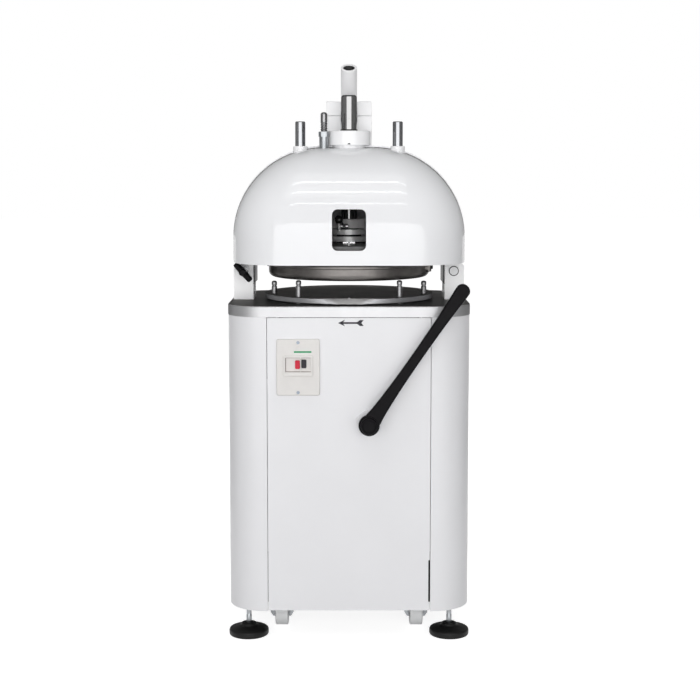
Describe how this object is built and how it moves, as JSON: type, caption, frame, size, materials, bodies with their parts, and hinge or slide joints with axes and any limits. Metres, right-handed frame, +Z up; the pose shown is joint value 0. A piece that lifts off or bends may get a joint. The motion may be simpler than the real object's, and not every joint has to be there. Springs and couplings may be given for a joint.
{
  "type": "dough divider rounder",
  "caption": "Floor-standing dough divider rounder: rounded cabinet on feet and castors, orbiting table, and a hooded press head with a lever-driven ring.",
  "frame": {"origin": "centre of the bounding box on the floor", "axes": "+Z up, the front with the switch and lever faces -Y, +X to the right seen from the front"},
  "size_m": [0.61, 0.558, 1.4509],
  "materials": {
    "inner_frame": "satin paint",
    "cabinet_paint": "satin pale grey-white paint",
    "silver_plate": "satin silver",
    "zinc": "zinc plated",
    "switch_grey": "moulded light grey",
    "steel": "machined",
    "motor_paint": "enamel",
    "belt_rubber": "matte",
    "head_paint": "gloss white paint",
    "gland_black": "moulded",
    "foot_rubber": "matte",
    "wheel_nylon": "moulded nylon",
    "stop_red": "moulded red",
    "start_black": "moulded black",
    "lever_black": "black coat",
    "pulley_iron": "turned",
    "table_metal": "satin grey",
    "chrome": "polished",
    "seal_rubber": "matte",
    "hood_white": "gloss white",
    "ring_cast": "fine cast",
    "segment_metal": "machined",
    "knife_steel": "ground",
    "knob_black": "moulded"
  },
  "bodies": {
    "base": {"cabinet_frame": "inner_frame", "left_side_panel": "cabinet_paint", "right_side_panel": "cabinet_paint", "front_panel": "cabinet_paint", "rear_panel": "cabinet_paint", "top_plate": "silver_plate", "castor_forks": "zinc", "switch_housing": "switch_grey", "switch_screws": "zinc", "lever_bush": "steel", "drive_bracket": "inner_frame", "crank_bearings": "steel", "motor": "motor_paint", "drive_belt": "belt_rubber", "left_post": "head_paint", "right_post": "head_paint", "hinge_pin": "steel", "cable_gland": "gland_black"},
    "left_foot": {"left_foot_stem": "zinc", "left_foot_pad": "foot_rubber"},
    "right_foot": {"right_foot_stem": "zinc", "right_foot_pad": "foot_rubber"},
    "front_left_castor": {"front_left_wheel": "wheel_nylon"},
    "front_right_castor": {"front_right_wheel": "wheel_nylon"},
    "rear_left_castor": {"rear_left_wheel": "wheel_nylon"},
    "rear_right_castor": {"rear_right_wheel": "wheel_nylon"},
    "stop": {"stop_button": "stop_red"},
    "start": {"start_button": "start_black"},
    "rounding_arm": {"rounding_lever": "lever_black", "lever_cap": "lever_black", "lever_spindle": "steel"},
    "crank": {"crank_shaft": "steel", "main_pulley": "pulley_iron"},
    "motor_rotor": {"motor_pulley": "pulley_iron"},
    "idler_left": {"idler_crank_left": "steel"},
    "idler_right": {"idler_crank_right": "steel"},
    "table": {"rounding_table": "table_metal"},
    "pins": {"plate_pins": "chrome"},
    "clamp": {"clamp_screw": "steel", "clamp_handle": "lever_black"},
    "head": {"head_frame": "inner_frame", "head_collar": "head_paint", "rod_wiper": "seal_rubber", "guide_bushes": "head_paint", "hood_front": "hood_white", "hood_rear": "hood_white", "lever_bracket": "head_paint", "bracket_caps": "head_paint", "stop_screw": "zinc", "stop_sleeve": "zinc"},
    "press_arm": {"lever_hub": "steel", "lever_tube": "head_paint"},
    "carriage": {"press_rod": "chrome", "carriage_plate": "steel", "press_ring": "ring_cast", "guide_columns": "chrome", "press_segments": "segment_metal"},
    "knives": {"knife_grid": "knife_steel"},
    "catch": {"catch_lever": "steel", "catch_knob": "knob_black"}
  },
  "joints": [
    {"name": "crank_spin", "type": "hinge", "parent": "base", "child": "crank", "pos_m": [0, 0.025, 0.74], "axis": [0, 0, 1], "continuous": true},
    {"name": "table_turn", "type": "hinge", "parent": "crank", "child": "table", "pos_m": [0, 0.018, 0.85], "axis": [0, 0, 1], "continuous": true},
    {"name": "idler_left_spin", "type": "hinge", "parent": "base", "child": "idler_left", "pos_m": [-0.12, 0.025, 0.8], "axis": [0, 0, 1], "continuous": true},
    {"name": "idler_right_spin", "type": "hinge", "parent": "base", "child": "idler_right", "pos_m": [0.12, 0.025, 0.8], "axis": [0, 0, 1], "continuous": true},
    {"name": "motor_spin", "type": "hinge", "parent": "base", "child": "motor_rotor", "pos_m": [-0.15, 0.088, 0.65], "axis": [0, 0, 1], "continuous": true},
    {"name": "rounding_lever_swing", "type": "hinge", "parent": "base", "child": "rounding_arm", "pos_m": [0.0493, -0.221, 0.552], "axis": [0, -1, 0], "range_deg": [0, 70]},
    {"name": "stop_button_press", "type": "slide", "parent": "base", "child": "stop", "axis": [0, 1, 0], "range_m": [0, 0.0035], "stiffness_N_per_m": 600},
    {"name": "start_button_press", "type": "slide", "parent": "base", "child": "start", "axis": [0, 1, 0], "range_m": [0, 0.0035], "stiffness_N_per_m": 600},
    {"name": "left_foot_turn", "type": "hinge", "parent": "base", "child": "left_foot", "pos_m": [-0.254, -0.178, 0.02], "axis": [0, 0, 1], "continuous": true},
    {"name": "right_foot_turn", "type": "hinge", "parent": "base", "child": "right_foot", "pos_m": [0.254, -0.178, 0.02], "axis": [0, 0, 1], "continuous": true},
    {"name": "front_left_roll", "type": "hinge", "parent": "base", "child": "front_left_castor", "pos_m": [-0.173, -0.103, 0.042], "axis": [1, 0, 0], "continuous": true},
    {"name": "front_right_roll", "type": "hinge", "parent": "base", "child": "front_right_castor", "pos_m": [0.173, -0.103, 0.042], "axis": [1, 0, 0], "continuous": true},
    {"name": "rear_left_roll", "type": "hinge", "parent": "base", "child": "rear_left_castor", "pos_m": [-0.173, 0.167, 0.04], "axis": [1, 0, 0], "continuous": true},
    {"name": "rear_right_roll", "type": "hinge", "parent": "base", "child": "rear_right_castor", "pos_m": [0.173, 0.167, 0.04], "axis": [1, 0, 0], "continuous": true},
    {"name": "clamp_turn", "type": "hinge", "parent": "base", "child": "clamp", "pos_m": [-0.271, -0.077, 0.915], "axis": [0, -1, 0], "range_deg": [0, 90]},
    {"name": "tilt_head", "type": "hinge", "parent": "base", "child": "head", "pos_m": [0.271, 0.018, 0.915], "axis": [0, 1, 0], "range_deg": [0, 70]},
    {"name": "press_lever", "type": "hinge", "parent": "head", "child": "press_arm", "pos_m": [0, 0.098, 1.317], "axis": [1, 0, 0], "range_deg": [0, 35.8]},
    {"name": "press_carriage", "type": "slide", "parent": "head", "child": "carriage", "axis": [0, 0, -1], "range_m": [0, 0.04]},
    {"name": "plate_pins_drop", "type": "slide", "parent": "table", "child": "pins", "axis": [0, 0, -1], "range_m": [0, 0.04]},
    {"name": "knife_drop", "type": "slide", "parent": "carriage", "child": "knives", "axis": [0, 0, -1], "range_m": [0, 0.02]},
    {"name": "catch_swing", "type": "hinge", "parent": "carriage", "child": "catch", "pos_m": [-0.012, -0.019, 1.03], "axis": [1, 0, 0], "range_deg": [0, 25]}
  ],
  "couplings": [
    {"joint": "table_turn", "follows": "crank_spin", "ratio": -1},
    {"joint": "idler_left_spin", "follows": "crank_spin", "ratio": 1},
    {"joint": "idler_right_spin", "follows": "crank_spin", "ratio": 1},
    {"joint": "motor_spin", "follows": "crank_spin", "ratio": 2.9145},
    {"joint": "press_carriage", "follows": "press_lever", "m_per_rad": 0.064},
    {"joint": "plate_pins_drop", "follows": "press_lever", "m_per_rad": 0.064}
  ]
}
